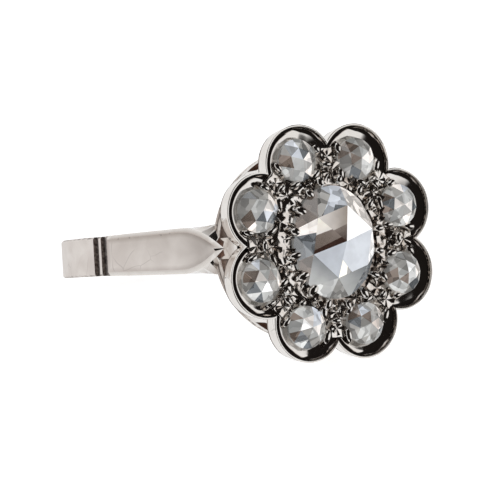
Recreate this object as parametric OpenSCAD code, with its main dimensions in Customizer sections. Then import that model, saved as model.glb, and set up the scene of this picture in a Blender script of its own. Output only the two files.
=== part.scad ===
// Daisy cluster ring in white gold, lying on its side as it rests by itself.
// A large rose-cut stone sits in a ring of eight small ones, in a scalloped
// head over a pierced gallery, on leaf-shaped shoulders and a plain flat band.
//
// The ring is drawn in its own frame: the finger runs along Z through the
// middle of the finger hole, and the head faces -Y. at_rest() lays it down.

/* [Band] */
// Diameter of the finger hole
hole_d = 17; // [15:0.1:20]
// Thickness of the band
band_t = 1.3; // [1:0.05:1.8]
// Width of the band along the finger
band_w = 2.3; // [1.8:0.05:3]
// Narrow flat along each outer edge of the band
band_edge = 0.12; // [0.05:0.01:0.3]

/* [Grooves] */
// Width of each groove across the band
groove_w = 0.5; // [0.3:0.02:0.6]
// Depth of each groove
groove_depth = 0.26; // [0.18:0.02:0.4]
// Distance between the two grooves, middle to middle
groove_pitch = 0.7; // [0.65:0.01:1.4]
// How far the first groove laps over the leaf's start
groove_lap = 0.13; // [0.1:0.01:0.2]

/* [Shoulders] */
// Angle from the head to the groove where the leaf starts
leaf_start = 72.3; // [68:0.1:78]
// Angle that the leaf turns through along its long curve
leaf_turn = 17.9; // [16:0.1:20]
// Radius of the leaf's long curve
leaf_curve_r = 26.6; // [24:0.1:30]
// Width of the leaf at its widest
leaf_w = 2.62; // [2.3:0.02:3.4]
// Place where the leaf is widest, as a share of its length
leaf_wide_at = 0.68; // [0.5:0.01:0.8]
// Width of the sloping border along the leaf's flat panel
leaf_bevel = 0.25; // [0.15:0.01:0.35]
// Width of the border where it runs into the leaf's tip
leaf_tip_bevel = 0.31; // [0.2:0.01:0.5]
// How far the border drops from the panel
leaf_drop = 0.16; // [0.08:0.01:0.3]
// Height of the upright side under the border
leaf_side = 0.5; // [0.3:0.05:0.8]
// Width of the shoulder's foot where it meets the head
foot_w = 4.6; // [3.6:0.1:6]
// How much deeper the shoulder's root runs at the leaf's tip
root_drop = 2.7; // [2.5:0.1:3.1]

/* [Head] */
// Distance from the finger hole up to the underside of the head
head_lift = 0.45; // [0.3:0.05:1]
// Height of the head from its underside to its rim
head_h = 4.15; // [3.8:0.05:5]
// Radius of the ring that the petals' centres lie on
petal_ring_r = 4.8; // [4.6:0.05:5.1]
// Radius of one petal at its rim
petal_r = 2.26; // [2.1:0.02:2.5]
// Depth of the cup that the petals form
cup_h = 1.15; // [1:0.05:1.4]
// How far a petal's outer wall draws in towards the gallery
petal_draw = 0.17; // [0.05:0.01:0.3]
// Thickness of the lip round each petal
lip_t = 0.12; // [0.08:0.01:0.2]
// Depth of the dish inside each lip
dish_depth = 0.36; // [0.25:0.01:0.5]
// Width of the dish's curved slope
dish_slope = 0.54; // [0.4:0.02:0.7]
// Length of the ridge that runs in from each notch between two petals
ridge_l = 1.15; // [0.8:0.05:1.4]
// Width of the slope round the raised field
field_slope = 0.7; // [0.4:0.05:0.9]
// Depth of the raised field below the rim
field_sink = 0.03; // [0.02:0.01:0.1]

/* [Gallery] */
// Outer radius of the gallery's wall under the cup
gallery_top_r = 5.55; // [5.4:0.05:5.8]
// Thickness of the gallery's wall
gallery_t = 0.45; // [0.35:0.05:0.6]
// Radius of the ring of wire that the gallery stands on
base_ring_r = 5.28; // [5.1:0.02:5.4]
// Diameter of each of the base ring's two wires
wire_d = 0.46; // [0.4:0.02:0.6]
// How far the two wires sink into each other
wire_sink = 0.09; // [0.05:0.01:0.12]
// Height of the sill between the base ring and the windows
sill_h = 0.06; // [0.04:0.01:0.12]
// Width of each arched window
window_w = 3.1; // [2.4:0.05:3.3]
// Radius of the arch over each window
window_arch_r = 1.9; // [1.7:0.05:2.4]
// Metal left between the cup and the top of each arch
window_head = 0.2; // [0.1:0.02:0.4]
// How far the shoulders reach in past the base ring
shoulder_reach = 0.15; // [0.05:0.01:0.3]

/* [Stones] */
// Length of the centre stone along the finger
center_l = 6.4; // [5.6:0.05:6.6]
// Width of the centre stone across the finger
center_w = 5.3; // [4.8:0.05:5.6]
// Height of the centre stone's dome above its girdle
center_dome = 1.38; // [1:0.02:1.8]
// Height of the centre stone's girdle above the rim
center_rise = 0.12; // [0:0.02:0.3]
// Reach of the centre stone's star facets, as a share of its width
center_star = 0.39; // [0.3:0.01:0.42]
// Turn of the centre stone's facets in its seat
center_turn = 18; // [0:1:59]
// Width of the ledge under the centre stone
center_ledge = 0.7; // [0.4:0.05:1]
// Diameter of each petal stone
petal_stone_d = 2.4; // [2.1:0.02:2.5]
// Height of a petal stone's dome above its girdle
petal_dome = 0.62; // [0.4:0.02:0.8]
// Radius of the ring that the petal stones' middles lie on
petal_stone_r = 5.06; // [4.95:0.01:5.1]
// Depth of the petal stones' girdles below the rim
petal_sink = 0.1; // [0.04:0.01:0.2]
// Reach of a petal stone's star facets, as a share of its diameter
petal_star = 0.29; // [0.25:0.01:0.4]
// Turn of each petal stone's facets from those of the stone before
petal_turn = 25; // [0:1:59]
// Width of the ledge under each petal stone
petal_ledge = 0.4; // [0.25:0.05:0.6]
// Height of the star facets' corners, as a share of the dome
star_rise = 0.71; // [0.65:0.01:0.78]
// Thickness of every stone's girdle
girdle_t = 0.24; // [0.18:0.02:0.3]
// Clearance round every stone in its seat
stone_gap = 0.03; // [0.02:0.01:0.06]

/* [Grains] */
// Diameter of the grains that hold the stones
grain_d = 0.4; // [0.3:0.02:0.5]
// Distance of a grain's middle from its stone's edge
grain_out = 0.16; // [0.12:0.01:0.2]
// Depth of the petal stones' grains below the girdle's top
grain_sink = 0.12; // [0.08:0.01:0.16]
// Depth of the centre stone's grains below the girdle's top
center_grain_sink = 0.04; // [0:0.01:0.08]
// Number of grains round the centre stone
center_grains = 14; // [10:2:18]

/* [Hidden] */
NODES = [
    "ring_body", "center_stone",
    "petal_stone_1", "petal_stone_2", "petal_stone_3", "petal_stone_4",
    "petal_stone_5", "petal_stone_6", "petal_stone_7", "petal_stone_8"
];

fine = 96;
grain_fine = 24;
oval_steps = 48;
leaf_steps = 18;

// Overshoot of a shape that cuts, length that two joined shapes share, and a hair.
over = 1;
join = 0.1;
hair = 0.02;

hole_r = hole_d / 2;
band_r = hole_r + band_t;
rim_y = hole_r + head_lift + head_h;
petal_count = len(NODES) - 2;
petal_step = 360 / petal_count;
half_step = petal_step / 2;

// The dish's slope is an arc that leaves the floor level and meets the lip.
dish_floor_r = petal_r - lip_t - dish_slope;
dish_arc_r = (dish_slope * dish_slope + dish_depth * dish_depth) / (2 * dish_depth);

// The floor runs level from the field to the ridges between the petals.
notch_x = petal_ring_r * sin(half_step);
notch_r = petal_ring_r * cos(half_step) + sqrt(petal_r * petal_r - notch_x * notch_x);
floor_r = notch_r - ridge_l;

// The raised field round the centre stone slopes down to the floor.
field_top_r = center_l / 2 + grain_d;
field_foot_r = field_top_r + field_slope;

base_ring_z = -head_h + wire_d / 2;
wire_pitch = wire_d - wire_sink;
sill_z = base_ring_z + wire_pitch + wire_d / 2 + sill_h;
hollow_r = base_ring_r - wire_d / 2 - shoulder_reach;

petal_girdle_z = -petal_sink - girdle_t;
center_girdle_z = center_rise - girdle_t;

// Angles of a petal stone's grains from the direction out of the head's middle.
grain_angles = [-142, -85, 85, 142];

// The ring lies on two petals and on the far lower edge of the band. A petal
// touches with its rim or with the foot of its wall, whichever is the lower.
back_r = band_r - band_edge;
petal_reach = petal_ring_r * cos(half_step) + petal_r;
rim_tilt = atan((petal_reach - band_w / 2) / (back_r + rim_y));
wall_tilt = atan((petal_reach - petal_draw - band_w / 2) / (back_r + rim_y - cup_h));
rest_tilt = max(rim_tilt, wall_tilt);
rest_z = back_r * sin(rest_tilt) + band_w / 2 * cos(rest_tilt);
front_y = -rim_y * cos(rest_tilt) - petal_reach * sin(rest_tilt);
back_y = band_r * cos(rest_tilt) + (band_w / 2 - band_edge) * sin(rest_tilt);
rest_y = -(front_y + back_y) / 2;

// Lays the ring down, with the origin under the middle of its box.
module at_rest() {
    translate([0, rest_y, rest_z])
        rotate([-rest_tilt, 0, 0])
            children();
}

// Frame of the head: Z points out of the head, and Z = 0 is the rim.
module head_frame() {
    translate([0, -rim_y, 0])
        rotate([90, 0, 0])
            children();
}

// Repeats its children for each petal, pointing along X.
module each_petal() {
    for (i = [0 : petal_count - 1])
        rotate([0, 0, half_step + i * petal_step])
            children();
}

// Shoulders. s runs from 0 at the groove to 1 at the leaf's tip. Past its widest
// place the leaf narrows to the tip, while the foot under it spreads to the head.
foot_curve = 1.5;
knee_share = 0.3;
knee_drop = 1;
root_sink = 0.3;

// The shoulder starts a hair wider than the band, so that no two faces fall together.
start_w = band_w + 3 * hair;

function past_wide(s) = max(0, (s - leaf_wide_at) / (1 - leaf_wide_at));

function leaf_half(s) =
    let (swell = min(1, s / leaf_wide_at))
    (start_w + (leaf_w - start_w) * swell) / 2 * (1 - pow(past_wide(s), 2));

function foot_half(s) =
    let (swell = min(1, s / leaf_wide_at))
    (start_w + (leaf_w - start_w) * swell + (foot_w - leaf_w) * pow(past_wide(s), foot_curve)) / 2;

function knee_half(s) = past_wide(s) > 0
    ? leaf_w / 2 + (foot_half(s) - leaf_w / 2) * knee_share
    : leaf_half(s);

// Half of one cross-section: [distance out from the panel, half width].
function leaf_section(s) =
    let (half = leaf_half(s))
    let (slope_w = leaf_bevel + (leaf_tip_bevel - leaf_bevel) * past_wide(s))
    let (border = min(slope_w, half))
    let (top = leaf_drop * (border / slope_w - 1))
    [
        [top, max(half - border, hair)],
        [-leaf_drop - hair, max(half, 2 * hair)],
        [-leaf_drop - leaf_side - knee_drop * s, knee_half(s)],
        [-band_t - root_sink - root_drop * s, foot_half(s)]
    ];

// The shoulder runs on a little way past its start, out of sight under the groove.
lead_s = -0.04;
lead_section = [for (p = leaf_section(0)) [p[0] - groove_depth * 0.8, p[1]]];

function leaf_place(s, out, side) =
    let (a = leaf_start - leaf_turn * s)
    let (r = leaf_curve_r + out)
    let (c = leaf_curve_r - band_r)
    [c * sin(leaf_start) - r * sin(a), c * cos(leaf_start) - r * cos(a), side];

function leaf_loop(s, half) = concat(
    [for (p = half) leaf_place(s, p[0], p[1])],
    [for (k = [len(half) - 1 : -1 : 0]) leaf_place(s, half[k][0], -half[k][1])]
);

module shoulder() {
    count = 2 * len(lead_section);
    last = (leaf_steps + 1) * count;
    points = concat(
        leaf_loop(lead_s, lead_section),
        [for (i = [0 : leaf_steps]) each leaf_loop(i / leaf_steps, leaf_section(i / leaf_steps))]
    );
    sides = [
        for (row = [0 : leaf_steps], k = [0 : count - 1])
            let (a = row * count + k)
            let (b = row * count + (k + 1) % count)
            each [[a, b, b + count], [a, b + count, a + count]]
    ];
    near_end = [for (k = [count - 1 : -1 : 0]) k];
    far_end = [for (k = [0 : count - 1]) last + k];
    polyhedron(points = points, faces = concat(sides, [near_end, far_end]), convexity = 6);
}

// Band: a flat section, turned from one leaf round the back to the other.
band_lead = 0.5;

module band() {
    root = hole_r - over;
    end = leaf_start - band_lead;
    rotate([0, 0, end - 90])
        rotate_extrude(angle = 360 - 2 * end, $fn = fine)
            polygon([
                [root, -band_w / 2],
                [band_r - band_edge, -band_w / 2],
                [band_r, -band_w / 2 + band_edge],
                [band_r, band_w / 2 - band_edge],
                [band_r - band_edge, band_w / 2],
                [root, band_w / 2]
            ]);
}

// The two grooves across the band at each leaf's end.
module grooves() {
    groove_step = groove_pitch / band_r * 180 / PI;
    first = leaf_start + (groove_w / 2 - groove_lap) / band_r * 180 / PI;
    for (side = [-1, 1], i = [0, 1])
        rotate([0, 0, side * (first + i * groove_step)])
            translate([-groove_w / 2, -band_r - over, -leaf_w])
                cube([groove_w, over + groove_depth, 2 * leaf_w]);
}

module shank() {
    difference() {
        union() {
            band();
            for (turn = [0, 180])
                rotate([0, turn, 0])
                    shoulder();
        }
        grooves();
        head_frame()
            translate([0, 0, -rim_y])
                cylinder(h = rim_y - cup_h / 2, r = hollow_r, $fn = fine);
    }
}

// Dish inside one petal's lip.
module petal_dish() {
    rotate_extrude($fn = fine) {
        translate([0, -dish_depth])
            square([dish_floor_r, dish_depth + hair]);
        intersection() {
            translate([dish_floor_r, dish_arc_r - dish_depth])
                circle(r = dish_arc_r, $fn = fine);
            translate([dish_floor_r, -over])
                square([dish_slope, over + hair]);
        }
    }
}

// Cup: eight petals round a middle, dished inside their lips.
module cup() {
    difference() {
        union() {
            each_petal()
                translate([petal_ring_r, 0, -cup_h])
                    cylinder(h = cup_h, r1 = petal_r - petal_draw, r2 = petal_r, $fn = fine);
            translate([0, 0, -cup_h])
                cylinder(h = cup_h, r = petal_ring_r, $fn = petal_count);
        }
        each_petal()
            translate([petal_ring_r, 0, 0])
                petal_dish();
        translate([0, 0, -dish_depth])
            cylinder(h = over, r = floor_r, $fn = fine);
    }
}

// Raised field round the centre stone.
module field() {
    translate([0, 0, -dish_depth - join])
        cylinder(h = join, r = field_foot_r, $fn = fine);
    translate([0, 0, -dish_depth])
        cylinder(h = dish_depth - field_sink, r1 = field_foot_r, r2 = field_top_r, $fn = fine);
}

// Outline of the centre stone, grown all round.
function oval_point(a, grow) = [(center_w / 2 + grow) * cos(a), (center_l / 2 + grow) * sin(a)];

function oval(grow) = [for (i = [0 : oval_steps - 1]) oval_point(i * 360 / oval_steps, grow)];

module grain() {
    sphere(d = grain_d, $fn = grain_fine);
}

// Grains: four round each petal stone, and a ring of them round the centre.
module grains() {
    each_petal()
        translate([petal_stone_r, 0, -petal_sink - grain_sink])
            for (a = grain_angles)
                rotate([0, 0, a])
                    translate([petal_stone_d / 2 + grain_out, 0, 0])
                        grain();
    for (i = [0 : center_grains - 1])
        let (at = oval_point((i + 0.5) * 360 / center_grains, grain_out))
        translate([at[0], at[1], center_rise - center_grain_sink])
            grain();
}

// Seats: each stone drops onto a ledge, over a hole that is open to the finger.
module seats() {
    each_petal()
        translate([petal_stone_r, 0, petal_girdle_z - stone_gap]) {
            cylinder(h = over, d = petal_stone_d + 2 * stone_gap, $fn = fine);
            translate([0, 0, -cup_h])
                cylinder(h = cup_h + hair, d = petal_stone_d - 2 * petal_ledge, $fn = fine);
        }
    translate([0, 0, center_girdle_z - stone_gap])
        linear_extrude(over)
            polygon(oval(stone_gap));
    translate([0, 0, -cup_h - over])
        linear_extrude(cup_h + over)
            polygon(oval(-center_ledge));
}

// Arched window, cut through the gallery's wall along X.
module window() {
    top = -cup_h - window_head;
    translate([hollow_r - over, 0, 0])
        rotate([90, 0, 90])
            linear_extrude(gallery_top_r - hollow_r + 2 * over)
                intersection() {
                    translate([0, top - window_arch_r])
                        circle(r = window_arch_r, $fn = fine);
                    translate([-window_w / 2, sill_z])
                        square([window_w, top - sill_z + hair]);
                }
}

// Pierced gallery: a wall with an arched window under each petal, on two wires.
module gallery() {
    wall_top = -cup_h + join;
    wall_foot = base_ring_z + wire_pitch;
    foot_r = base_ring_r + gallery_t / 2 - hair;
    difference() {
        rotate_extrude($fn = fine)
            polygon([
                [gallery_top_r - gallery_t, wall_top],
                [gallery_top_r, wall_top],
                [foot_r, wall_foot],
                [foot_r - gallery_t, wall_foot]
            ]);
        each_petal()
            window();
    }
    for (i = [0, 1])
        rotate_extrude($fn = fine)
            translate([base_ring_r, base_ring_z + i * wire_pitch])
                circle(d = wire_d, $fn = grain_fine);
}

module head() {
    head_frame() {
        gallery();
        difference() {
            union() {
                cup();
                field();
                grains();
            }
            seats();
        }
    }
}

module ring_body() {
    color([0.83, 0.81, 0.79])
        at_rest()
            difference() {
                union() {
                    shank();
                    head();
                }
                cylinder(h = 2 * (base_ring_r + over), r = hole_r, center = true, $fn = 2 * fine);
            }
}

// Rose cut: six star facets meet at the apex, and eighteen more run down to the
// girdle, which is cut to the shape of the children.
corners = 6;
rose_spread = 1.05;
rose_drop = 0.06;

module rose(width, length, dome, star, turn) {
    count = 2 * corners;
    step = 360 / count;
    apex = [0, 0, girdle_t + dome];
    ring = [
        for (i = [0 : corners - 1])
            let (a = turn + 2 * i * step)
            [star * width * cos(a), star * width * sin(a), girdle_t + star_rise * dome]
    ];
    rim = [
        for (i = [0 : count - 1])
            let (a = turn + i * step)
            [
                width / 2 * rose_spread * cos(a),
                length / 2 * rose_spread * sin(a),
                girdle_t - rose_drop
            ]
    ];
    base = [for (p = rim) [p[0], p[1], -over]];
    r0 = 1;
    m0 = r0 + corners;
    b0 = m0 + count;
    faces = concat(
        [for (i = [0 : corners - 1]) [0, r0 + (i + 1) % corners, r0 + i]],
        [for (i = [0 : corners - 1]) [r0 + i, r0 + (i + 1) % corners, m0 + 2 * i + 1]],
        [for (i = [0 : corners - 1]) [r0 + i, m0 + 2 * i + 1, m0 + 2 * i]],
        [for (i = [0 : corners - 1]) [r0 + i, m0 + 2 * i, m0 + (2 * i + count - 1) % count]],
        [for (i = [0 : count - 1]) [m0 + i, m0 + (i + 1) % count, b0 + (i + 1) % count, b0 + i]],
        [[for (i = [0 : count - 1]) b0 + i]]
    );
    intersection() {
        polyhedron(points = concat([apex], ring, rim, base), faces = faces);
        children();
    }
}

module center_stone() {
    color([0.93, 0.94, 0.95])
        at_rest()
            head_frame()
                translate([0, 0, center_girdle_z])
                    rose(center_w, center_l, center_dome, center_star, center_turn)
                        linear_extrude(2 * center_dome)
                            polygon(oval(0));
}

module petal_stone(i) {
    color([0.9, 0.91, 0.92])
        at_rest()
            head_frame()
                rotate([0, 0, half_step + i * petal_step])
                    translate([petal_stone_r, 0, petal_girdle_z])
                        rose(petal_stone_d, petal_stone_d, petal_dome, petal_star, i * petal_turn)
                            cylinder(h = 2 * petal_dome, d = petal_stone_d, $fn = fine);
}

ring_body();
center_stone();
petal_stone(0);  // petal_stone_1
petal_stone(1);  // petal_stone_2
petal_stone(2);  // petal_stone_3
petal_stone(3);  // petal_stone_4
petal_stone(4);  // petal_stone_5
petal_stone(5);  // petal_stone_6
petal_stone(6);  // petal_stone_7
petal_stone(7);  // petal_stone_8
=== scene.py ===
import math
import random

import bmesh
import bpy
from mathutils import Matrix, Vector


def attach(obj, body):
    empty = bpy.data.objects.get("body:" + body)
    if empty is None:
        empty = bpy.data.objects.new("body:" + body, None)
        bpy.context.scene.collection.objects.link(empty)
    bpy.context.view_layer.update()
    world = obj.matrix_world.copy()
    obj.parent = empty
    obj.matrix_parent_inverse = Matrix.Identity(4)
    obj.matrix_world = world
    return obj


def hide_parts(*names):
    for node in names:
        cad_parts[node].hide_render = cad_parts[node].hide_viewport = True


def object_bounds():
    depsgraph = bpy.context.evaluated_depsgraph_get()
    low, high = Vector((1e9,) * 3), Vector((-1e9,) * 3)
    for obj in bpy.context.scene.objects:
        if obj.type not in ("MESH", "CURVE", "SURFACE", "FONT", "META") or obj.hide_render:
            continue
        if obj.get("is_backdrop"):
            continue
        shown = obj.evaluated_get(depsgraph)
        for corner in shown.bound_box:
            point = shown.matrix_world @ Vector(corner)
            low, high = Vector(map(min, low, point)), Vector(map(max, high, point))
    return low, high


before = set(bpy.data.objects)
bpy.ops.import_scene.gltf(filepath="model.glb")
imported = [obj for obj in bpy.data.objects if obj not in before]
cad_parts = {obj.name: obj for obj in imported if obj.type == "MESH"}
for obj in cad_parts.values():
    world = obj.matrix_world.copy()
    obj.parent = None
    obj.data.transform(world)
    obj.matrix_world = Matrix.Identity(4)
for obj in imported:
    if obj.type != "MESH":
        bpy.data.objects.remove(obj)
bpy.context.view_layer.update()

MM = 0.001

# Lie of the ring, in millimetres: it rests on two petals and on the band.
RIM_OUT = 13.1
TILT = math.radians(13.954246)
REST_Y, REST_Z = 2.284309, 3.450365

# Sizes of the head, in millimetres.
PETALS = 8
PETAL_STEP = math.tau / PETALS
PETAL_RING_R = 4.8
CUP_H, CUP_CORE_R = 1.15, 4.0
LIP_IN_R, LIP_IN_Z = 2.135, -0.03
DISH_DEPTH = 0.36
PETAL_STONE_R, PETAL_STONE_D = 5.06, 2.4
CENTER_W, CENTER_L = 5.3, 6.4
STONE_GAP = 0.03

# Seats and light holes, in millimetres. The field's oval seat is wider than the stone,
# and lies a little right of it and below, which leaves the gap that shows there, dark with painted
# shade.
OVAL_SEAT_DEPTH, OVAL_LEDGE = 0.15, 0.7
OVAL_GAP, OVAL_SHIFT = 0.22, 0.14
FIELD_SEAT_GAP = 0.06
LIGHT_HOLE_R = 0.8
DRILL_LOW, DRILL_HIGH = -2, 1

# The field's skin: flat round the centre stone, and falling away outside it.
FIELD_TOP, FIELD_LOW = -0.04, -0.2
FIELD_FLAT_R, FIELD_FALL = 3.62, 0.25

# Distances, in millimetres, under which points are merged, slivers are dropped, and a
# point counts as lying on a cut.
DOUBLE, SLIVER, SLICE_REACH = 0.0005, 0.002, 1e-5

# The head's own frame: Z points out of the head, and Z = 0 is the rim. Head
# pieces are made in it, in millimetres, and WORK carries them to their place.
HEAD_AT = Vector((0, REST_Y - RIM_OUT * math.cos(TILT), REST_Z + RIM_OUT * math.sin(TILT)))
HEAD = Matrix.Translation(HEAD_AT) @ Matrix.Rotation(math.radians(90) - TILT, 4, "X")
WORK = Matrix.Scale(MM, 4) @ HEAD


# Camera
def aim_camera():
    data = bpy.data.cameras.new("camera")
    camera = bpy.data.objects.new("camera", data)
    bpy.context.collection.objects.link(camera)
    bpy.context.scene.camera = camera
    data.sensor_width = 36
    data.lens = 152.06
    data.clip_start = 0.005
    data.clip_end = 20
    right = Vector((0.868409, -0.491912, 0.062381)).normalized()
    look = Vector((0.493765, 0.846358, -0.199693)).normalized()
    up = right.cross(look).normalized()
    camera.matrix_world = Matrix((
        (right.x, up.x, -look.x, -0.063226),
        (right.y, up.y, -look.y, -0.109810),
        (right.z, up.z, -look.z, 0.029996),
        (0, 0, 0, 1),
    ))
    return camera


camera = aim_camera()
scene = bpy.context.scene
scene.view_settings.view_transform = "Standard"


# Bench: small moves that the pieces share
def pick(*objects):
    bpy.ops.object.select_all(action="DESELECT")
    for obj in objects:
        obj.select_set(True)
    bpy.context.view_layer.objects.active = objects[-1]


def edit(obj, kind="VERT"):
    pick(obj)
    bpy.ops.object.mode_set(mode="EDIT")
    bpy.ops.mesh.select_mode(type=kind)
    bpy.ops.mesh.select_all(action="DESELECT")


def done():
    bpy.ops.object.mode_set(mode="OBJECT")


def select_whole():
    bpy.ops.mesh.select_all(action="SELECT")


def slice_whole(at, normal, clear=False):
    """Cuts the whole mesh along a plane, and can clear the side that its normal points to."""
    select_whole()
    bpy.ops.mesh.bisect(plane_co=at, plane_no=normal, clear_outer=clear, threshold=SLICE_REACH)


def choose(obj, kind, test):
    """Selects the faces, edges or vertices that pass the test, in edit mode."""
    mesh = bmesh.from_edit_mesh(obj.data)
    parts = {"FACE": mesh.faces, "EDGE": mesh.edges, "VERT": mesh.verts}[kind]
    for part in parts:
        part.select_set(test(part))
    bmesh.update_edit_mesh(obj.data)


def close_up(obj):
    """Merges doubles and turns the faces outwards."""
    edit(obj)
    select_whole()
    bpy.ops.mesh.remove_doubles(threshold=DOUBLE)
    bpy.ops.mesh.normals_make_consistent(inside=False)
    done()


def settle(obj):
    """Applies the object's place, turn and size to its mesh."""
    pick(obj)
    bpy.ops.object.transform_apply(location=True, rotation=True, scale=True)


def fuse(name, objects):
    """Joins objects into one piece."""
    pick(*objects)
    bpy.ops.object.join()
    made = bpy.context.object
    made.name = name
    made.data.name = name
    return made


def copy_of(obj, place):
    """A copy with a mesh of its own, at a place."""
    twin = obj.copy()
    twin.data = obj.data.copy()
    bpy.context.collection.objects.link(twin)
    twin.matrix_world = place
    return twin


def discard(*objects):
    for obj in objects:
        bpy.data.objects.remove(obj)


def apply_modifier(obj, kind, **values):
    mod = obj.modifiers.new(kind.lower(), kind)
    for key, value in values.items():
        setattr(mod, key, value)
    pick(obj)
    bpy.ops.object.modifier_apply(modifier=mod.name)


def texture(name, kind, **values):
    made = bpy.data.textures.new(name, kind)
    for key, value in values.items():
        setattr(made, key, value)
    return made


def swell(obj, pattern, strength, middle, direction):
    """Raises and sinks a skin by a texture, which leaves it as it is at the middle tone."""
    apply_modifier(obj, "DISPLACE", texture=pattern, strength=strength, mid_level=middle,
                   direction=direction, texture_coords="LOCAL")


def hand_in(obj, node, material, angle):
    """Carries a finished piece from the bench to its place on the ring."""
    obj.matrix_world = WORK
    settle(obj)
    pick(obj)
    if obj.data.has_custom_normals:
        bpy.ops.mesh.customdata_custom_splitnormals_clear()
    if angle:
        bpy.ops.object.shade_smooth_by_angle(angle=math.radians(angle))
    else:
        bpy.ops.object.shade_flat()
    obj.data.materials.clear()
    obj.data.materials.append(material)
    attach(obj, "root")
    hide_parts(node)


def polar(r, degrees):
    turn = math.radians(degrees)
    return Vector((r * math.cos(turn), r * math.sin(turn)))


def petal_heading(number):
    """Degrees from 3 o'clock to the middle of a petal."""
    return (number + 0.5) * 360 / PETALS


# Materials
def new_material(name):
    """A material, its node tree and its shader."""
    made = bpy.data.materials.new(name)
    made.use_nodes = True
    return made, made.node_tree, made.node_tree.nodes["Principled BSDF"]


def feed(tree, node, values):
    """Fills a node's sockets, each from another node's output or with a plain value."""
    for name, value in values.items():
        if isinstance(value, bpy.types.NodeSocket):
            tree.links.new(value, node.inputs[name])
        else:
            node.inputs[name].default_value = value


def add_node(tree, kind, values=None, **settings):
    """A new shader node, with its settings made first and its sockets filled after."""
    made = tree.nodes.new("ShaderNode" + kind)
    for key, value in settings.items():
        setattr(made, key, value)
    feed(tree, made, values or {})
    return made


def ranged(tree, value, low, high, start=0, end=1, curve="LINEAR"):
    """Takes a value from between low and high to between start and end."""
    values = {"Value": value, "From Min": low, "From Max": high, "To Min": start, "To Max": end}
    return add_node(tree, "MapRange", values, interpolation_type=curve).outputs["Result"]


def mixed_colour(tree, share, first, second):
    return add_node(tree, "Mix", {0: share, 6: first, 7: second}, data_type="RGBA").outputs[2]


def mixed_value(tree, share, first, second):
    return add_node(tree, "Mix", {0: share, 2: first, 3: second}).outputs[0]


def bent_place(tree, place, noise, reach):
    """A place that is pushed about by noise, so that a pattern on it isn't straight."""
    values = {0: noise, 1: (reach, reach, reach), 2: place}
    return add_node(tree, "VectorMath", values, operation="MULTIPLY_ADD").outputs["Vector"]


def wear_group():
    """Wear that every metal finish shares: soft patches, hairline scratches, and the
    unevenness that makes the edge of the dirt and painted shade ragged."""
    group = bpy.data.node_groups.new("wear", "ShaderNodeTree")
    for name in ("Patch Scale", "Line Scale"):
        group.interface.new_socket(name, in_out="INPUT", socket_type="NodeSocketFloat")
    for name in ("Patches", "Lines", "Edge"):
        group.interface.new_socket(name, in_out="OUTPUT", socket_type="NodeSocketFloat")
    given = group.nodes.new("NodeGroupInput")
    result = group.nodes.new("NodeGroupOutput")
    place = add_node(group, "TexCoord").outputs["Object"]
    patches = add_node(group, "TexNoise", {
        "Vector": place, "Scale": given.outputs["Patch Scale"], "Detail": 4, "Distortion": 0.6})
    bend = add_node(group, "TexNoise", {"Vector": place, "Scale": 500, "Detail": 1})
    cracks = add_node(group, "TexVoronoi", {
        "Vector": bent_place(group, place, bend.outputs["Color"], 0.0012),
        "Scale": given.outputs["Line Scale"]}, feature="DISTANCE_TO_EDGE")
    thin = ranged(group, cracks.outputs["Distance"], 0.006, 0.022, 1, 0)
    some = ranged(group, bend.outputs["Fac"], 0.55, 0.62)
    few = add_node(group, "Math", {0: thin, 1: some}, operation="MULTIPLY")
    edge = add_node(group, "TexNoise", {"Vector": place, "Scale": 4200, "Detail": 2})
    feed(group, result, {
        "Patches": ranged(group, patches.outputs["Fac"], 0.32, 0.68),
        "Lines": few.outputs[0],
        "Edge": ranged(group, edge.outputs["Fac"], 0.3, 0.7),
    })
    return group


WEAR = wear_group()
# Brown film and near black for the dark share: partly real dirt in the hollows, partly painted
# shade.
DIRT_AND_SHADE_FILM = (0.42, 0.36, 0.32, 1)
DARK_DIRT_AND_SHADE = (0.035, 0.028, 0.025, 1)
DIRT_AND_SHADE_ROUGHNESS = 0.6


def white_gold(name, light, shadow, smooth, dull, patch_scale, line_scale, scratch):
    """White gold whose colour and gloss drift between two states, with hairlines, a brown
    film where dirt and painted shade are thin, and near black where they are thick."""
    made, tree, gold = new_material(name)
    wear = add_node(tree, "Group", {"Patch Scale": patch_scale, "Line Scale": line_scale},
                    node_tree=WEAR)
    dirt_and_shade = add_node(tree, "Attribute", attribute_name="dirt_and_shade").outputs["Fac"]
    ragged = ranged(tree, wear.outputs["Edge"], 0, 1, 0.2, -0.2)
    uneven = add_node(tree, "Math", {0: dirt_and_shade, 1: ragged}, operation="ADD").outputs[0]
    dark_dirt_and_shade = ranged(tree, uneven, 0.42, 0.62)
    dirt_and_shade_film = ranged(tree, dirt_and_shade, 0, 0.4)
    hairline = (*(v * (1 - scratch) for v in shadow), 1)
    colour = mixed_colour(tree, wear.outputs["Patches"], (*light, 1), (*shadow, 1))
    colour = mixed_colour(tree, wear.outputs["Lines"], colour, hairline)
    # the dark share mixed in: partly real dirt, partly painted shade
    colour = mixed_colour(tree, dirt_and_shade_film, colour, DIRT_AND_SHADE_FILM)
    colour = mixed_colour(tree, dark_dirt_and_shade, colour, DARK_DIRT_AND_SHADE)
    gloss = ranged(tree, wear.outputs["Patches"], 0, 1, smooth, dull)
    feed(tree, gold, {
        "Base Color": colour,
        "Metallic": 1,
        "Roughness": mixed_value(tree, dark_dirt_and_shade, gloss, DIRT_AND_SHADE_ROUGHNESS),
    })
    return made


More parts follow.
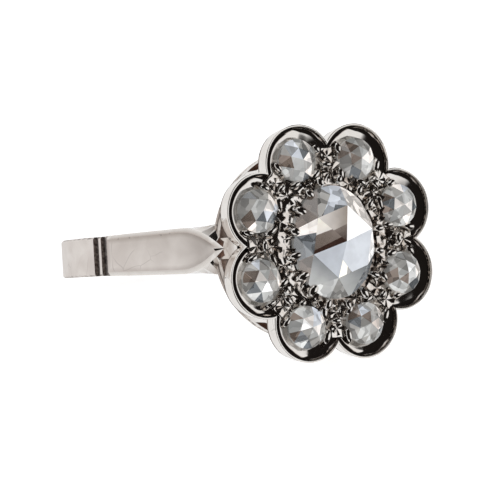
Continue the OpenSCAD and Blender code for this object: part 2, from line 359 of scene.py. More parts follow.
def diamond():
    """Rose-cut diamond. Each facet has a painted reflection, and its alpha says how
    far painted shards of light inside the stone break it up."""
    made, tree, stone = new_material("diamond")
    painted_reflection = add_node(tree, "Attribute", attribute_name="painted_reflection")
    place = add_node(tree, "TexCoord").outputs["Object"]
    cloud = add_node(tree, "TexNoise", {"Vector": place, "Scale": 1300, "Detail": 2})
    soft = ranged(tree, cloud.outputs["Fac"], 0.35, 0.65, 0.9, 1.04)
    shards = add_node(tree, "TexVoronoi", {
        "Vector": bent_place(tree, place, cloud.outputs["Color"], 0.0002), "Scale": 2000})
    shard = add_node(tree, "SeparateColor", {"Color": shards.outputs["Color"]})
    spread = ranged(tree, shard.outputs["Red"], 0.1, 0.95, 0.3, 1.75, "SMOOTHSTEP")
    broken = mixed_value(tree, painted_reflection.outputs["Alpha"], 1, spread)
    depth = add_node(tree, "Math", {0: soft, 1: broken}, operation="MULTIPLY")
    shade = add_node(tree, "VectorMath", {
        0: painted_reflection.outputs["Color"], "Scale": depth.outputs[0]}, operation="SCALE")
    feed(tree, stone, {
        "Base Color": shade.outputs[0],
        "Metallic": 0,
        "Roughness": 0.02,
        "IOR": 2.42,
        "Transmission Weight": 0.25,
        # painted glow: the stone shines with its own painted reflections
        "Emission Color": shade.outputs[0],
        "Emission Strength": 0.6,
    })
    return made


POLISHED = white_gold(
    "polished_gold", light=(0.87, 0.84, 0.81), shadow=(0.80, 0.76, 0.72),
    smooth=0.05, dull=0.10, patch_scale=900, line_scale=500, scratch=0.12)
BRUSHED = white_gold(
    "brushed_gold", light=(0.81, 0.755, 0.715), shadow=(0.72, 0.66, 0.62),
    smooth=0.32, dull=0.42, patch_scale=700, line_scale=620, scratch=0.14)
ENGRAVED = white_gold(
    "engraved_gold", light=(0.93, 0.90, 0.87), shadow=(0.80, 0.73, 0.67),
    smooth=0.05, dull=0.2, patch_scale=1500, line_scale=900, scratch=0.15)
# Painted shade: a darker, rougher gold for the grooves, the seams between the base wires and the
# line under the sill.
SHADED = white_gold(
    "groove_gold", light=(0.86, 0.80, 0.76), shadow=(0.30, 0.26, 0.24),
    smooth=0.4, dull=0.6, patch_scale=4200, line_scale=1500, scratch=0.2)
# Dark reddish brown for the gallery's inside: partly dirt, partly painted shade.
INSIDE_SHADE = white_gold(
    "inner_gold_shade", light=(0.26, 0.15, 0.11), shadow=(0.11, 0.06, 0.045),
    smooth=0.4, dull=0.55, patch_scale=1800, line_scale=900, scratch=0.2)
DIAMOND = diamond()


# Dirt and painted shade: how dark each place is with the dirt of years and with painted shade,
# kept on the mesh
def lay_dirt_and_shade(obj, depth_at):
    """Writes the share of dirt and painted shade at every vertex, by a rule on its bench place."""
    layer = obj.data.attributes.new("dirt_and_shade", "FLOAT", "POINT")
    for v, item in zip(obj.data.vertices, layer.data):
        item.value = depth_at(v.co)


def step(low, high, value):
    """0 under low, 1 over high, and a straight rise between them."""
    return min(max((value - low) / (high - low), 0), 1)


# Shank and gallery: the CAD metal, cut off under the cup. Sizes are in millimetres,
# and turns in degrees about the finger, from the middle of the head.
BASE_Z, WIRE_PITCH, WIRE_LINE_HALF = -3.92, 0.37, 0.08
SILL_Z = -3.26
SILL_LINE_Z, SILL_LINE_HALF = SILL_Z - 0.04, 0.03
GALLERY_IN_R, GALLERY_OUT_R = 4.9, 5.6
BAND_R, BAND_CHAMFER = 9.8, 0.14
GROOVE_TURN, GROOVE_DEPTH, GROOVE_HALF, GROOVE_MARGIN = 1.1, 0.26, 1.14, 0.05
LEAF_START, LEAF_END, LEAF_CURVE_R = 72.3, 22, 26.6
LEAF_BORDER, LEAF_TIP = 0.28, 33
PANEL_SKIN, PANEL_FACING = 0.2, 0.93
RING = Matrix.Translation((0, REST_Y, REST_Z)) @ Matrix.Rotation(-TILT, 4, "X")
TO_RING = RING.inverted() @ HEAD


def leaf_spoke(at):
    """The way to a point of the ring from the middle of its leaf's wide sweep."""
    start = math.radians(LEAF_START)
    gap = LEAF_CURVE_R - BAND_R
    return at.x + math.copysign(gap, at.x) * math.sin(start), at.y - gap * math.cos(start)


def leaf_place(co):
    """A bench point as seen from its leaf: turn about the finger, reach from it, and
    height over the panel."""
    at = TO_RING @ co
    turn = math.degrees(math.atan2(abs(at.x), -at.y))
    return turn, math.hypot(at.x, at.y), math.hypot(*leaf_spoke(at)) - LEAF_CURVE_R


def leaf_up(co):
    """The way out of the panel at a bench point."""
    up = Vector((*leaf_spoke(TO_RING @ co), 0))
    return TO_RING.to_3x3().inverted() @ up.normalized()


def on_panel(co, normal):
    """True on the flat of a leaf, between the grooves and the head."""
    turn, _, over = leaf_place(co)
    if turn > LEAF_START - GROOVE_TURN or turn < LEAF_END:
        return False
    return abs(over) < PANEL_SKIN and normal.dot(leaf_up(co)) > PANEL_FACING


def shank_painted_shade(co):
    """Painted shade low on the shoulders' sides, near the head."""
    turn, _, over = leaf_place(co)
    low = step(0.35, 0.8, -over)
    return 0.36 * low * (1 - step(31, 42, turn)) * step(21, 24, turn)


def shank_and_gallery():
    """The CAD metal without the top of the head, which the cup and the field stand for."""
    metal = copy_of(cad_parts["ring_body"], Matrix.Identity(4))
    metal.name = "shank_and_gallery"
    metal.data.transform(WORK.inverted())
    metal.parent = None
    edit(metal)
    select_whole()
    bpy.ops.mesh.remove_doubles(threshold=DOUBLE)
    bpy.ops.mesh.dissolve_degenerate(threshold=SLIVER)
    slice_whole((0, 0, -CUP_H - 0.01), (0, 0, 1), clear=True)
    bpy.ops.mesh.fill(use_beauty=False)
    # two cuts round the gallery bound the line of painted shade under its sill
    for side in (1, -1):
        slice_whole((0, 0, SILL_LINE_Z + side * SILL_LINE_HALF), (0, 0, 1))
    done()
    lay_dirt_and_shade(metal, shank_painted_shade)
    choose_panel(metal)
    return metal


def choose_panel(metal):
    """Draws a border inside each panel, with painted shade along it that is most at the top."""
    edit(metal, "FACE")
    choose(metal, "FACE", lambda f: on_panel(f.calc_center_median(), f.normal))
    bpy.ops.mesh.inset(thickness=LEAF_BORDER, depth=0, use_boundary=True, use_even_offset=True)
    mesh = bmesh.from_edit_mesh(metal.data)
    layer = mesh.verts.layers.float["dirt_and_shade"]
    inner = {v for f in mesh.faces if f.select for v in f.verts}
    border = [f for f in mesh.faces if not f.select and on_panel(f.calc_center_median(), f.normal)]
    # painted shade along the border, most at the top of each panel
    for v in {v for f in border for v in f.verts} | inner:
        top = step(-0.3, 0.3, (TO_RING @ v.co).z)
        v[layer] = max(v[layer], 0.1 * top if v in inner else 0.16 + 0.15 * top)
    # the border folds over itself at a leaf's tip, so its inner corners there become one
    for side in (-1, 1):
        for v in mesh.verts:
            v.select_set(v in inner and v.co.x * side > 0 and leaf_place(v.co)[0] < LEAF_TIP)
        bmesh.update_edit_mesh(metal.data)
        bpy.ops.mesh.select_mode(type="VERT")
        bpy.ops.mesh.merge(type="CENTER")
        mesh = bmesh.from_edit_mesh(metal.data)
    done()


def shank_finish(co, normal):
    """The finish of a shank face: 0 polished, 1 brushed, 2 dark groove with painted shade, 3 dark
    inside, partly dirt and partly painted shade.
    """
    polished, brushed, shaded, inner = range(4)
    turn, reach, _ = leaf_place(co)
    if turn > LEAF_START - GROOVE_TURN:
        # painted shade on the groove floors and walls
        deep = BAND_R - GROOVE_DEPTH - GROOVE_MARGIN < reach < BAND_R - GROOVE_MARGIN
        if deep and abs((TO_RING @ co).z) < GROOVE_HALF:
            return shaded
        return brushed if reach > BAND_R - BAND_CHAMFER else polished
    if on_panel(co, normal):
        return brushed
    if GALLERY_IN_R < math.hypot(co.x, co.y) < GALLERY_OUT_R and co.z < -CUP_H:
        outward = normal.dot(Vector((co.x, co.y, 0)).normalized())
        # the gallery's inside and window reveals: dark, partly dirt and partly painted shade
        if SILL_Z - 0.02 < co.z and outward < 0.6:
            return inner
        # painted shade in the seam between the base wires and in the line under the sill
        between_wires = abs(co.z - BASE_Z - WIRE_PITCH / 2) < WIRE_LINE_HALF
        if between_wires or abs(co.z - SILL_LINE_Z) < SILL_LINE_HALF:
            return shaded
    return polished


def finish_shank(body):
    """Brushes the band and the leaves' flats, and darkens the grooves with painted shade and the
    inside with dirt and painted shade.
    """
    for material in (BRUSHED, SHADED, INSIDE_SHADE):
        body.data.materials.append(material)
    back = WORK.inverted()
    turn_back = back.to_3x3()
    for face in body.data.polygons:
        face.material_index = shank_finish(
            back @ face.center, (turn_back @ face.normal).normalized())


# Cup: eight petals, each turned from one profile
def turned(name, profile, sides):
    """Turns a profile of (radius, height) about Z, one ring drawn on from the next."""
    r, z = profile[0]
    bpy.ops.object.select_all(action="DESELECT")
    bpy.ops.mesh.primitive_circle_add(
        vertices=sides, radius=r, fill_type="NGON", location=(0, 0, z))
    obj = bpy.context.object
    obj.name = name
    settle(obj)
    edit(obj, "EDGE")
    select_whole()
    for next_r, next_z in profile[1:]:
        bpy.ops.mesh.extrude_edges_move(TRANSFORM_OT_translate={"value": (0, 0, next_z - z)})
        grow = next_r / r
        bpy.ops.transform.resize(value=(grow, grow, 1), center_override=(0, 0, next_z))
        r, z = next_r, next_z
    bpy.ops.mesh.edge_face_add()
    done()
    return obj


def bowl(r):
    """Height of a petal's slope inside its lip: a steep wall that bends to a shallow cone."""
    bend_r, steep, shallow = 0.48, math.radians(52), math.radians(15)
    start_r, start_z = 2.1, -0.15
    if r > start_r:
        return start_z * (LIP_IN_R - r) / (LIP_IN_R - start_r)
    turn = math.asin(max(math.sin(steep) - (start_r - r) / bend_r, math.sin(shallow)))
    low_r = start_r - bend_r * (math.sin(steep) - math.sin(turn))
    return start_z - bend_r * (math.cos(turn) - math.cos(steep)) - (low_r - r) * math.tan(shallow)


CREVICE = [
    (LIP_IN_R, LIP_IN_Z), (2.11, -0.17), (2.06, -0.225), (1.98, -0.235), (1.9, -0.222),
    (1.84, -0.205), (1.78, -0.21), (1.7, -0.24), (1.45, -0.34), (1.2, -0.44),
]


def crevice(r):
    """Height of the slope where a narrow trough runs inside the lip."""
    for (r1, z1), (r2, z2) in zip(CREVICE, CREVICE[1:]):
        if r >= r2:
            return z2 + (z1 - z2) * (min(r, r1) - r2) / (r1 - r2)
    return CREVICE[-1][1]


def dish_profile():
    """Wall, rounded lip and slope of a petal, from its foot inwards."""
    wall = [
        (2.09, -CUP_H), (2.115, -0.95), (2.17, -0.74), (2.18, -0.66), (2.2, -0.44),
        (2.24, -0.15), (2.256, -0.06), (2.24, -0.006),
    ]
    lip = [(2.215, 0), (2.17, 0), (2.15, -0.006), (LIP_IN_R, LIP_IN_Z)]
    slope = (
        2.122, 2.11, 2.085, 2.06, 2.02, 1.98, 1.94, 1.9,
        1.87, 1.84, 1.81, 1.78, 1.74, 1.7, 1.45, 1.2,
    )
    return wall + lip + [(r, bowl(r)) for r in slope]


def petal_polar(co):
    """The nearest petal's own polar place of a point: radius, and heading in degrees."""
    offs = [co.xy - polar(PETAL_RING_R, petal_heading(i)) for i in range(PETALS)]
    off = min(offs, key=lambda v: v.length)
    return off.length, math.degrees(math.atan2(off.y, off.x))


def trough_share(heading):
    """How far the trough shows at a heading: all of it on the left of each petal."""
    return step(-0.05, 0.55, math.cos(math.radians(heading - 178)))


def cup():
    """One petal is turned, cut to its eighth of the cup and copied round."""
    petal = turned("petal", dish_profile(), 128)
    petal.location = (PETAL_RING_R, 0, 0)
    settle(petal)
    half = PETAL_STEP / 2
    edit(petal)
    for side in (-1, 1):
        slice_whole((0, 0, 0), (-math.sin(half), side * math.cos(half), 0), clear=True)
    slice_whole((CUP_CORE_R, 0, 0), (-1, 0, 0), clear=True)
    done()
    petals = [
        copy_of(petal, Matrix.Rotation(half + i * PETAL_STEP, 4, "Z")) for i in range(PETALS)
    ]
    discard(petal)
    for p in petals:
        settle(p)
    made = fuse("petal_cup", petals)
    edit(made)
    select_whole()
    bpy.ops.mesh.remove_doubles(threshold=SLIVER)
    bpy.ops.mesh.select_mode(type="EDGE")
    # a floor and a cover close the open core
    for side in (-1, 1):
        choose(made, "EDGE", lambda e: e.is_boundary and (e.verts[0].co.z + CUP_H / 2) * side > 0)
        bpy.ops.mesh.edge_face_add()
    done()
    close_up(made)
    # a second outline on the underside, inside the foot, lets the painted shade at the foot end
    # there
    edit(made, "FACE")
    choose(made, "FACE", lambda f: f.normal.z < -0.9 and f.calc_center_median().z < 0.02 - CUP_H)
    bpy.ops.mesh.inset(thickness=0.24, depth=0)
    done()
    # the trough is pressed into the slope inside each lip
    for v in made.data.vertices:
        r, heading = petal_polar(v.co)
        on_slope = 1.15 < r < 2.13 and -0.6 < v.co.z < -0.02
        if on_slope:
            v.co.z += trough_share(heading) * (crevice(r) - bowl(r))
    hand = texture("hand", "CLOUDS", noise_scale=1.3, noise_depth=1)
    swell(made, hand, 0.05, 0.5, "NORMAL")
    return made


def cup_dirt_and_shade(co):
    """Dark in the trough inside each lip, partly dirt and partly painted shade, heavier on each
    petal's left, and painted shade in the line under the cup.
    """
    r, heading = petal_polar(co)
    share = trough_share(heading)
    inner = 2.04 - 0.19 * share
    trough = step(inner - 0.04, inner + 0.04, r) * (1 - step(2.115, 2.14, r))
    trough *= step(0.03, 0.09, -co.z) * (1 - step(0.3, 0.45, -co.z)) * (0.55 + 0.45 * share)
    foot = step(CUP_H - 0.1, CUP_H - 0.03, -co.z) * step(1.9, 2.02, r)
    foot *= step(3.9, 4.3, co.xy.length)
    return max(trough, 0.8 * foot)


def drill(radius_x, radius_y, low, place):
    """A round or oval cutter that stands from a depth to well above the rim."""
    bpy.ops.object.select_all(action="DESELECT")
    bpy.ops.mesh.primitive_cylinder_add(vertices=64, radius=1, depth=1)
    obj = bpy.context.object
    obj.matrix_world = (
        place @ Matrix.Translation((0, 0, (low + DRILL_HIGH) / 2))
        @ Matrix.Diagonal((radius_x, radius_y, DRILL_HIGH - low, 1))
    )
    settle(obj)
    return obj


def petal_places(radius):
    return [
        Matrix.Rotation((i + 0.5) * PETAL_STEP, 4, "Z") @ Matrix.Translation((radius, 0, 0))
        for i in range(PETALS)
    ]


def cut_seats(piece, round_gap, oval_gap, oval_shift=0.0):
    """Cuts the stones' seats and the light holes under them."""
    at = petal_places(PETAL_STONE_R)
    seat_r = PETAL_STONE_D / 2 + round_gap
    half_w, half_l = CENTER_W / 2, CENTER_L / 2
    beside = Matrix.Translation((oval_shift, -oval_shift, 0))
    cutters = [
        fuse("light_holes", [drill(LIGHT_HOLE_R, LIGHT_HOLE_R, DRILL_LOW, m) for m in at]),
        fuse("round_seats", [drill(seat_r, seat_r, -DISH_DEPTH - 0.01, m) for m in at]),
        drill(half_w - OVAL_LEDGE, half_l - OVAL_LEDGE, DRILL_LOW, Matrix.Identity(4)),
        drill(half_w + oval_gap, half_l + oval_gap, -OVAL_SEAT_DEPTH, beside),
    ]
    for cutter in cutters:
        apply_modifier(piece, "BOOLEAN", operation="DIFFERENCE", object=cutter, solver="EXACT")
        discard(cutter)


# Engraved field between the stones
def field():
    """A low cone with an arm out between each two petals, remeshed into one skin."""
    bpy.ops.object.select_all(action="DESELECT")
    bpy.ops.mesh.primitive_cone_add(
        vertices=96, radius1=4.55, radius2=3.6, depth=0.44, location=(0, 0, -0.28))
    parts = [bpy.context.object]
    for i in range(PETALS):
        bpy.ops.object.select_all(action="DESELECT")
        bpy.ops.mesh.primitive_cube_add(size=1, location=(4.45, 0, -0.31))
        arm = bpy.context.object
        arm.scale = (2.1, 1.5, 0.38)
        settle(arm)
        edit(arm, "FACE")
        choose(arm, "FACE", lambda f: f.normal.z > 0.9)
        bpy.ops.transform.resize(value=(0.92, 0.5, 1), center_override=(4.2, 0, 0))
        done()
        arm.matrix_world = Matrix.Rotation(i * PETAL_STEP, 4, "Z")
        settle(arm)
        parts.append(arm)
    made = fuse("engraved_field", parts)
    apply_modifier(made, "REMESH", mode="VOXEL", voxel_size=0.05)
    return made


def engrave(made):
    """Hollows the skin cell by cell, as a graver does, and makes it uneven."""
    cells = texture("cells", "VORONOI", noise_scale=0.75, distance_metric="DISTANCE",
                    weight_1=-1, weight_2=1, noise_intensity=1.1)
    swell(made, cells, 0.1, 0.35, "Z")
    ripple = texture("ripple", "CLOUDS", noise_scale=0.42, noise_depth=1)
    swell(made, ripple, 0.08, 0.5, "NORMAL")


def field_height(x, y):
    """Height of the field's skin at a place on it."""
    r = math.hypot(x, y)
    if r < FIELD_FLAT_R:
        return FIELD_TOP
    return max(FIELD_TOP - (r - FIELD_FLAT_R) * FIELD_FALL, FIELD_LOW)


def field_dirt_and_shade(co):
    """Painted shade in the gap round each stone, and a darker film low in the engraving, partly
    dirt and partly painted shade.
    """
    reach = OVAL_GAP + 0.02
    oval = math.hypot((co.x - OVAL_SHIFT) / (CENTER_W / 2 + reach),
                      (co.y + OVAL_SHIFT) / (CENTER_L / 2 + reach))
    seat = min((co.xy - polar(PETAL_STONE_R, petal_heading(i))).length for i in range(PETALS))
    gap = max(1 - step(0.985, 1.0, oval), 1 - step(1.26, 1.29, seat)) * step(0.08, 0.12, -co.z)
    dirt_and_shade_film = 0.13 * step(0.03, 0.16, field_height(co.x, co.y) - co.z)
    return max(gap, dirt_and_shade_film)


# Grains and graver cuts
def bead():
    """A grain: a bead that spreads at its foot."""
    bpy.ops.object.select_all(action="DESELECT")
    bpy.ops.mesh.primitive_uv_sphere_add(segments=16, ring_count=10, radius=0.25)
    obj = bpy.context.object
    obj.name = "grain"
    edit(obj)
    choose(obj, "VERT", lambda v: v.co.z < -0.05)
    bpy.ops.transform.resize(value=(1.2, 1.2, 1), center_override=(0, 0, 0))
    done()
    return obj


def burr_blank():
    """A burr of metal beside a graver cut: a sharp crest that runs out to a point."""
    bpy.ops.object.select_all(action="DESELECT")
    bpy.ops.mesh.primitive_cone_add(vertices=4, radius1=0.1, depth=1, location=(0, 0, 0.5))
    obj = bpy.context.object
    obj.name = "burr"
    settle(obj)
    edit(obj)
    select_whole()
    bpy.ops.transform.rotate(value=math.radians(-90), orient_axis="Y", center_override=(0, 0, 0))
    done()
    return obj


def grains_and_cuts():
    """Grains and burrs, set round each stone and where stones meet."""
    rng = random.Random(11)
    grain, burr = bead(), burr_blank()
    grains, burrs = [], []

    def stand(at, z, heading):
        turn = Matrix.Rotation(math.radians(heading), 4, "Z")
        return Matrix.Translation((at.x, at.y, z)) @ turn

    def set_grain(at, z, size, heading, stretch):
        lean = Matrix.Rotation(rng.uniform(-0.25, 0.25), 4, "X")
        shape = Matrix.Diagonal((size * stretch, size * rng.uniform(0.8, 0.95), size, 1))
        grains.append(copy_of(grain, stand(at, z, heading) @ lean @ shape))

    def set_burr(at, z, heading, length, width, dip=8):
        slope = Matrix.Rotation(math.radians(dip), 4, "Y")
        roll = Matrix.Rotation(rng.uniform(-0.5, 0.5), 4, "X")
        shape = Matrix.Diagonal((length, width, width, 1))
        burrs.append(copy_of(burr, stand(at, z, heading) @ slope @ roll @ shape))

    def star_cut(at, z, first, count, reach):
        """Burrs that run together at one point."""
        for k in range(count):
            heading = first + (k + rng.uniform(-0.35, 0.35)) * 360 / count
            length = reach * rng.uniform(0.55, 1.25)
            start = at + polar(length, heading)
            set_burr(start, z, heading + 180, length, rng.uniform(1.2, 2.3), -5)

    # round the centre stone: over its edge on the left, and clear of it on the right
    count = 16
    for i in range(count):
        a = (i + 0.5) * math.tau / count + rng.uniform(-0.05, 0.05)
        out = Vector(((CENTER_W / 2) * math.cos(a), (CENTER_L / 2) * math.sin(a)))
        way = Vector((math.cos(a) / CENTER_W, math.sin(a) / CENTER_L)).normalized()
        heading = math.degrees(math.atan2(way.y, way.x))
        left = step(0.1, 0.8, -math.cos(a))
        clear = 0.42 - 0.54 * left
        set_grain(out + way * (clear + rng.uniform(-0.04, 0.04)), 0.1 + 0.07 * left,
                  rng.uniform(0.85, 1.05) + 0.3 * left,
                  heading + rng.uniform(-30, 30) * (1 - left),
                  rng.uniform(1.2, 1.7) + 0.1 * left)
        side = Vector((-way.y, way.x))
        for k in (-0.3, 0.3):
            set_burr(out + side * k + way * (clear - 0.04), 0.02 + 0.08 * left, heading + k * 60,
                     rng.uniform(0.5, 0.8), rng.uniform(1.3, 1.9))
    # round the petal stones
    for i in range(PETALS):
        toward = petal_heading(i)
        middle = polar(PETAL_STONE_R, toward)
        for a in (-148, -86, 86, 148):
            a += rng.uniform(-4, 4)
            at = middle + polar(1.37, toward + a)
            set_grain(at, -0.12, rng.uniform(0.85, 1.05), toward + a + rng.uniform(40, 140),
                      rng.uniform(1.3, 1.9))
        for a in (-122, -104, 104, 122, 180):
            a += rng.uniform(-6, 6)
            at = middle + polar(1.28, toward + a)
            set_burr(at, field_height(at.x, at.y), toward + a + rng.uniform(-25, 25),
                     rng.uniform(0.35, 0.6), rng.uniform(1.0, 1.6))
        # where three stones meet, and on the ridge towards the notch
        joint = i * 360 / PETALS
        star_cut(polar(rng.uniform(3.85, 4.05), joint + rng.uniform(-2, 2)), -0.1,
                 joint + rng.uniform(-20, 20), 6, 0.66)
        star_cut(polar(4.85, joint), -0.16, joint + 90, 5, 0.5)
        star_cut(polar(3.5, toward + rng.uniform(-3, 3)), FIELD_TOP,
                 toward + rng.uniform(0, 60), 5, 0.46)
        set_grain(polar(4.42, joint + rng.uniform(-1.5, 1.5)), -0.06, 0.9, joint + 90, 1.5)
    for obj in grains + burrs:
        settle(obj)
    discard(grain, burr)
    return fuse("grains", grains), fuse("graver_cuts", burrs)


# Stones: the rose cuts, with a painted reflection for each facet
# Painted reflections seen in the stones' facets; glint and white are painted highlights.
REFLECTION_TONES = {
    "white": (1.0, 1.0, 1.0),
    "glint": (1.0, 0.96, 0.84),
    "milk": (0.74, 0.70, 0.67),
    "ice": (0.50, 0.53, 0.58),
    "pale": (0.42, 0.425, 0.42),
    "cream": (0.56, 0.48, 0.43),
    "slate": (0.11, 0.12, 0.13),
    "grey": (0.25, 0.245, 0.235),
    "taupe": (0.19, 0.155, 0.135),
    "sand": (0.30, 0.255, 0.22),
    "umber": (0.11, 0.085, 0.07),
    "brown": (0.03, 0.014, 0.01),
}
CROWN_SLOPE, APEX_REACH = 0.12, 0.001


def inside(point, corners):
    """True where a point lies inside a flat outline."""
    x, y = point
    odd = False
    for (x1, y1), (x2, y2) in zip(corners, corners[1:] + corners[:1]):
        if (y1 > y) != (y2 > y) and x < (x2 - x1) * (y - y1) / (y2 - y1) + x1:
            odd = not odd
    return odd


def cut_stone(node, star, rim, star_shards, rim_shards, scores=(), spots=(), blends=()):
    """A rose cut whose facets are given painted reflections one by one, turning left from 3
    o'clock.
    A score is a line that divides the facet under its first point. A spot names the
    painted reflection of the part that it lies on and how far that is broken up, and a blend the
    painted reflections at its two ends and the way from one to the other."""
    made = copy_of(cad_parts[node], Matrix.Identity(4))
    made.name = node + "_cut"
    made.parent = None
    made.data.transform(WORK.inverted())
    close_up(made)
    edit(made, "FACE")
    select_whole()
    bpy.ops.mesh.dissolve_limited(angle_limit=math.radians(1))
    apex = max((v.co for v in bmesh.from_edit_mesh(made.data).verts), key=lambda co: co.z).copy()

    def reflection_tone_of(face, tones):
        """The painted reflection whose share of the turn about the top a facet lies in."""
        turn = math.atan2(face.center.y - apex.y, face.center.x - apex.x) % math.tau
        return tones[int(turn / math.tau * len(tones)) % len(tones)]

    for at, (x1, y1), (x2, y2) in scores:
        choose(made, "FACE", lambda f: f.normal.z > CROWN_SLOPE
               and inside(at, [tuple(v.co.xy) for v in f.verts]))
        bpy.ops.mesh.bisect(plane_co=(x1, y1, 0), plane_no=(y1 - y2, x2 - x1, 0),
                            threshold=SLICE_REACH)
    done()
    verts = made.data.vertices
    top = [f for f in made.data.polygons if f.normal.z > CROWN_SLOPE]
    touches = [f for f in top if any((verts[v].co - apex).length < APEX_REACH for v in f.vertices)]
    rest = [f for f in top if f not in touches]
    painted_reflection = made.data.color_attributes.new("painted_reflection", "FLOAT_COLOR", "CORNER")

    def paint(face, name, broken, far=None, heading=0):
        way = polar(1, heading)
        along = [way.dot(verts[v].co.xy) for v in face.vertices]
        reach = max(along) - min(along)
        for loop, a in zip(face.loop_indices, along):
            share = (a - min(along)) / reach if far else 0
            near_tone, far_tone = Vector(REFLECTION_TONES[name]), Vector(REFLECTION_TONES[far or name])
            painted_reflection.data[loop].color = (*near_tone.lerp(far_tone, share), broken)

    def under(x, y):
        return [f for f in top if inside((x, y), [tuple(verts[v].co.xy) for v in f.vertices])]

    for f in made.data.polygons:
        paint(f, "grey", rim_shards)
    for f in touches:
        paint(f, reflection_tone_of(f, star), star_shards)
    for f in rest:
        paint(f, reflection_tone_of(f, rim), rim_shards)
    for x, y, name, broken in spots:
        for f in under(x, y):
            paint(f, name, broken)
    for x, y, name, far, heading in blends:
        for f in under(x, y):
            paint(f, name, 0, far, heading)
    hand_in(made, node, DIAMOND, 0)


# Build
body = shank_and_gallery()
hand_in(body, "ring_body", POLISHED, 18)
finish_shank(body)

petal_cup = cup()
cut_seats(petal_cup, STONE_GAP, STONE_GAP)
lay_dirt_and_shade(petal_cup, cup_dirt_and_shade)
hand_in(petal_cup, "ring_body", POLISHED, 40)

engraved_field = field()
cut_seats(engraved_field, FIELD_SEAT_GAP, OVAL_GAP, OVAL_SHIFT)
engrave(engraved_field)
lay_dirt_and_shade(engraved_field, field_dirt_and_shade)
hand_in(engraved_field, "ring_body", ENGRAVED, 60)

grains, burrs = grains_and_cuts()
hand_in(grains, "ring_body", POLISHED, 60)
hand_in(burrs, "ring_body", ENGRAVED, 30)

cut_stone(
    "center_stone",
    star=["white", "ice", "taupe", "ice", "ice", "ice"],
    rim=["milk", "milk", "milk", "milk", "ice", "ice", "umber", "umber", "milk",
         "slate", "umber", "slate", "pale", "grey", "pale", "slate", "slate", "white"],
    star_shards=0.0,
    rim_shards=0.6,
    scores=[
        ((-1.0, 0.1), (-0.226, 0.28), (-2.02, -0.137)),
        ((-0.4, 1.0), (0.05, 0.92), (-0.95, 0.55)),
        ((0.1, -1.2), (-0.22, -1.03), (0.14, -1.4)),
        ((0.1, -1.6), (0.14, -1.4), (0.1, -1.9)),
        ((-2.1, 0.3), (-2.55, 0.42), (-1.71, 0.57)),
        ((-1.3, 0.4), (-1.743, 0.415), (-0.787, 0.709)),
        ((-0.7, 2.3), (-1.23, 1.48), (-0.46, 2.83)),
        ((-0.2, 2.3), (-0.526, 1.709), (-0.266, 2.095)),
        ((0.1, 2.05), (-0.266, 2.095), (0.362, 1.998)),
    ],
    spots=[
        (-0.12, -1.6, "glint", 0), (-1.0, -0.1, "brown", 0), (-2.05, -0.1, "slate", 0.6),
        (-1.0, 2.3, "grey", 1), (0.0, 1.96, "slate", 0.2),
    ],
    blends=[
        (-1.4, 0.9, "milk", "glint", 100),
        (-1.3, 0.3, "umber", "taupe", 60),
        (-0.15, 0.45, "brown", "taupe", 110),
        (-0.6, 1.3, "sand", "milk", 167),
        (0.8, -2.2, "pale", "slate", 60),
        (-1.5, -1.9, "pale", "slate", 60),
    ],
)

# Painted reflections of the facets round the small stones' tops, turning left from 3 o'clock.
PETAL_STARS = [
    ["pale", "pale", "milk", "pale", "grey", "milk"],
    ["milk", "pale", "grey", "taupe", "grey", "pale"],
    ["milk", "slate", "ice", "pale", "pale", "grey"],
    ["milk", "pale", "pale", "pale", "slate", "ice"],
    ["taupe", "pale", "milk", "pale", "white", "grey"],
    ["ice", "milk", "white", "grey", "pale", "milk"],
    ["grey", "taupe", "grey", "pale", "grey", "cream"],
    ["pale", "white", "grey", "pale", "taupe", "pale"],
]
for number, star in enumerate(PETAL_STARS):
    rng = random.Random(20 + number)
    left = ["umber", "grey", "taupe", "slate", "grey", "pale"]
    right = ["pale", "ice", "grey", "pale", "milk", "grey"]
    low = ["grey", "pale", "grey", "slate", "pale", "milk"]
    for tones in (left, right, low):
        rng.shuffle(tones)
    cut_stone(f"petal_stone_{number + 1}", star, right + left + low,
              star_shards=0.35, rim_shards=0.6)


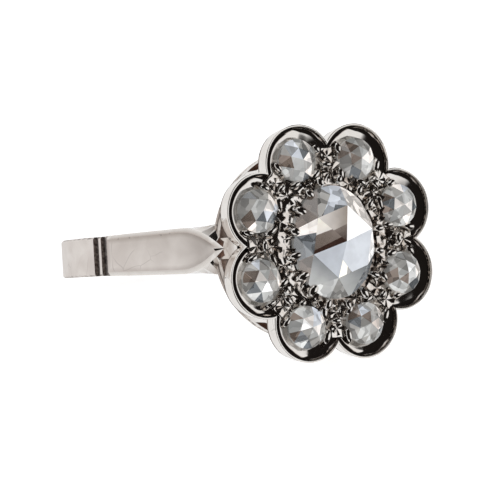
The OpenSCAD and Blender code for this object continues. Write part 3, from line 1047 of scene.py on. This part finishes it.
# Studio
def studio_floor():
    bpy.ops.object.select_all(action="DESELECT")
    bpy.ops.mesh.primitive_plane_add(size=4, location=(0, 0, 0))
    floor = bpy.context.object
    floor.name = "floor"
    made, tree, paint = new_material("floor_white")
    feed(tree, paint, {
        "Base Color": (1, 1, 1, 1),
        "Roughness": 1,
        "Specular IOR Level": 0,
        "Emission Color": (1, 1, 1, 1),
        "Emission Strength": 0.75,
    })
    floor.data.materials.append(made)
    floor.visible_glossy = False
    floor.visible_transmission = False
    floor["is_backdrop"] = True


def studio_light():
    """White tent with the dark of the room behind the camera, and two dark screens."""
    world = bpy.data.worlds.new("studio")
    scene.world = world
    world.use_nodes = True
    tree = world.node_tree
    tree.nodes.clear()
    sky = add_node(tree, "TexCoord").outputs["Generated"]
    view = camera.matrix_world.to_3x3()

    def calculate(operation, a, b=0):
        return add_node(tree, "Math", {0: a, 1: b}, operation=operation).outputs[0]

    def along(axis):
        dot = add_node(tree, "VectorMath", {0: sky, 1: axis}, operation="DOT_PRODUCT")
        return dot.outputs["Value"]

    def patch(azimuth, elevation, wide, tall, soft):
        """1 inside an oval patch of sky, by degrees to the right of and above the camera."""
        az, el = math.radians(azimuth), math.radians(elevation)
        toward = view @ Vector((math.sin(az) * math.cos(el), math.sin(el),
                                math.cos(az) * math.cos(el)))
        across = view @ Vector((math.cos(az), 0, -math.sin(az)))
        right = calculate("ARCTAN2", along(across), along(toward))
        above = calculate("ARCSINE", along(toward.cross(across)))
        x = calculate("DIVIDE", right, math.radians(wide))
        y = calculate("DIVIDE", above, math.radians(tall))
        powers = [calculate("POWER", calculate("ABSOLUTE", v), 4) for v in (x, y)]
        return ranged(tree, calculate("ADD", *powers), 1 - soft, 1 + soft, 1, 0, "SMOOTHSTEP")

    dark = patch(2, 0, 48, 50, 0.35)
    dark = calculate("MAXIMUM", dark, patch(85, 52, 45, 28, 0.3))
    dark = calculate("MAXIMUM", dark, patch(80, -48, 45, 25, 0.3))
    tent = mixed_colour(tree, dark, (1, 1, 1, 1), (0.012, 0.010, 0.009, 1))
    studio = add_node(tree, "Background", {"Color": tent, "Strength": 0.9})
    plain = add_node(tree, "Background", {"Color": (1, 1, 1, 1), "Strength": 1.2})
    path = add_node(tree, "LightPath")
    seen = add_node(tree, "MixShader", {
        0: path.outputs["Is Camera Ray"], 1: studio.outputs[0], 2: plain.outputs[0]})
    feed(tree, add_node(tree, "OutputWorld"), {"Surface": seen.outputs[0]})


studio_floor()
studio_light()

low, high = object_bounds()
